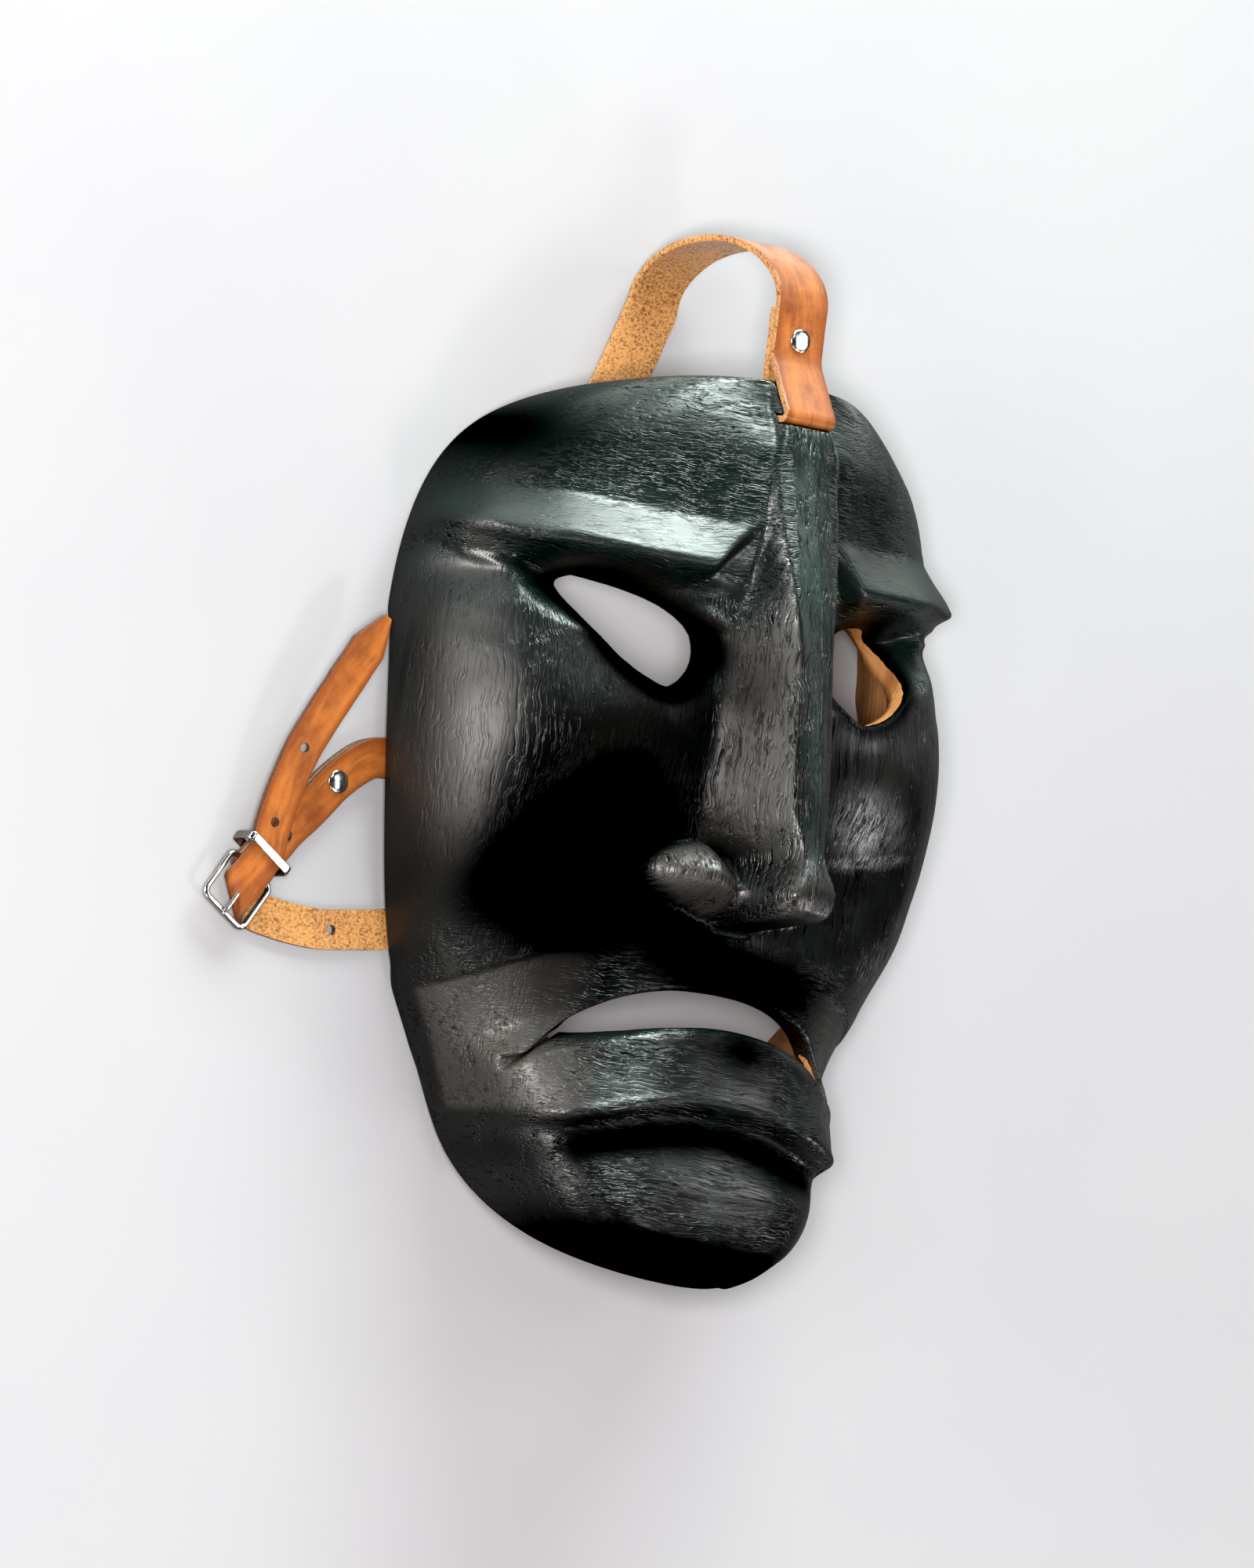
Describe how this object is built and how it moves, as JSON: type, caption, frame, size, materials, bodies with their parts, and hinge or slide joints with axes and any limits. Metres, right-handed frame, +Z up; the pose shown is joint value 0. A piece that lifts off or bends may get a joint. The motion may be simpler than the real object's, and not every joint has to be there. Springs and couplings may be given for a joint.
{
  "type": "mamuthones mask",
  "caption": "Carved wooden face mask with heavy brows, a long straight ridge and nose, a down-turned open mouth, a hollow back, and leather straps with a buckle; it lies face up.",
  "frame": {"origin": "on the floor, under the middle of the whole object's bounding box, with the mask lying face up", "axes": "+Z up, out of the face; +Y from the chin towards the forehead; +X towards the right of someone who looks down on the face"},
  "size_m": [0.2668, 0.349, 0.1215],
  "materials": {
    "painted_wood": "black semi-gloss paint over knife-cut wood, with streaked tool marks; bare orange-brown wood on the inside and in the cut edges",
    "leather": "tan vegetable-tanned leather, smooth outside and brown suede inside, darker on the edges",
    "nickel": "bright nickel-plated steel"
  },
  "bodies": {
    "root": {"mask_shell": "painted_wood", "strap_left": "leather", "strap_right": "leather", "strap_top": "leather", "buckle_frame": "nickel", "buckle_tongue": "nickel", "buckle_keeper": "nickel", "rivet_left": "nickel", "rivet_right": "nickel", "rivet_top": "nickel", "rivet_rear": "nickel", "rivet_buckle": "nickel"}
  },
  "joints": []
}
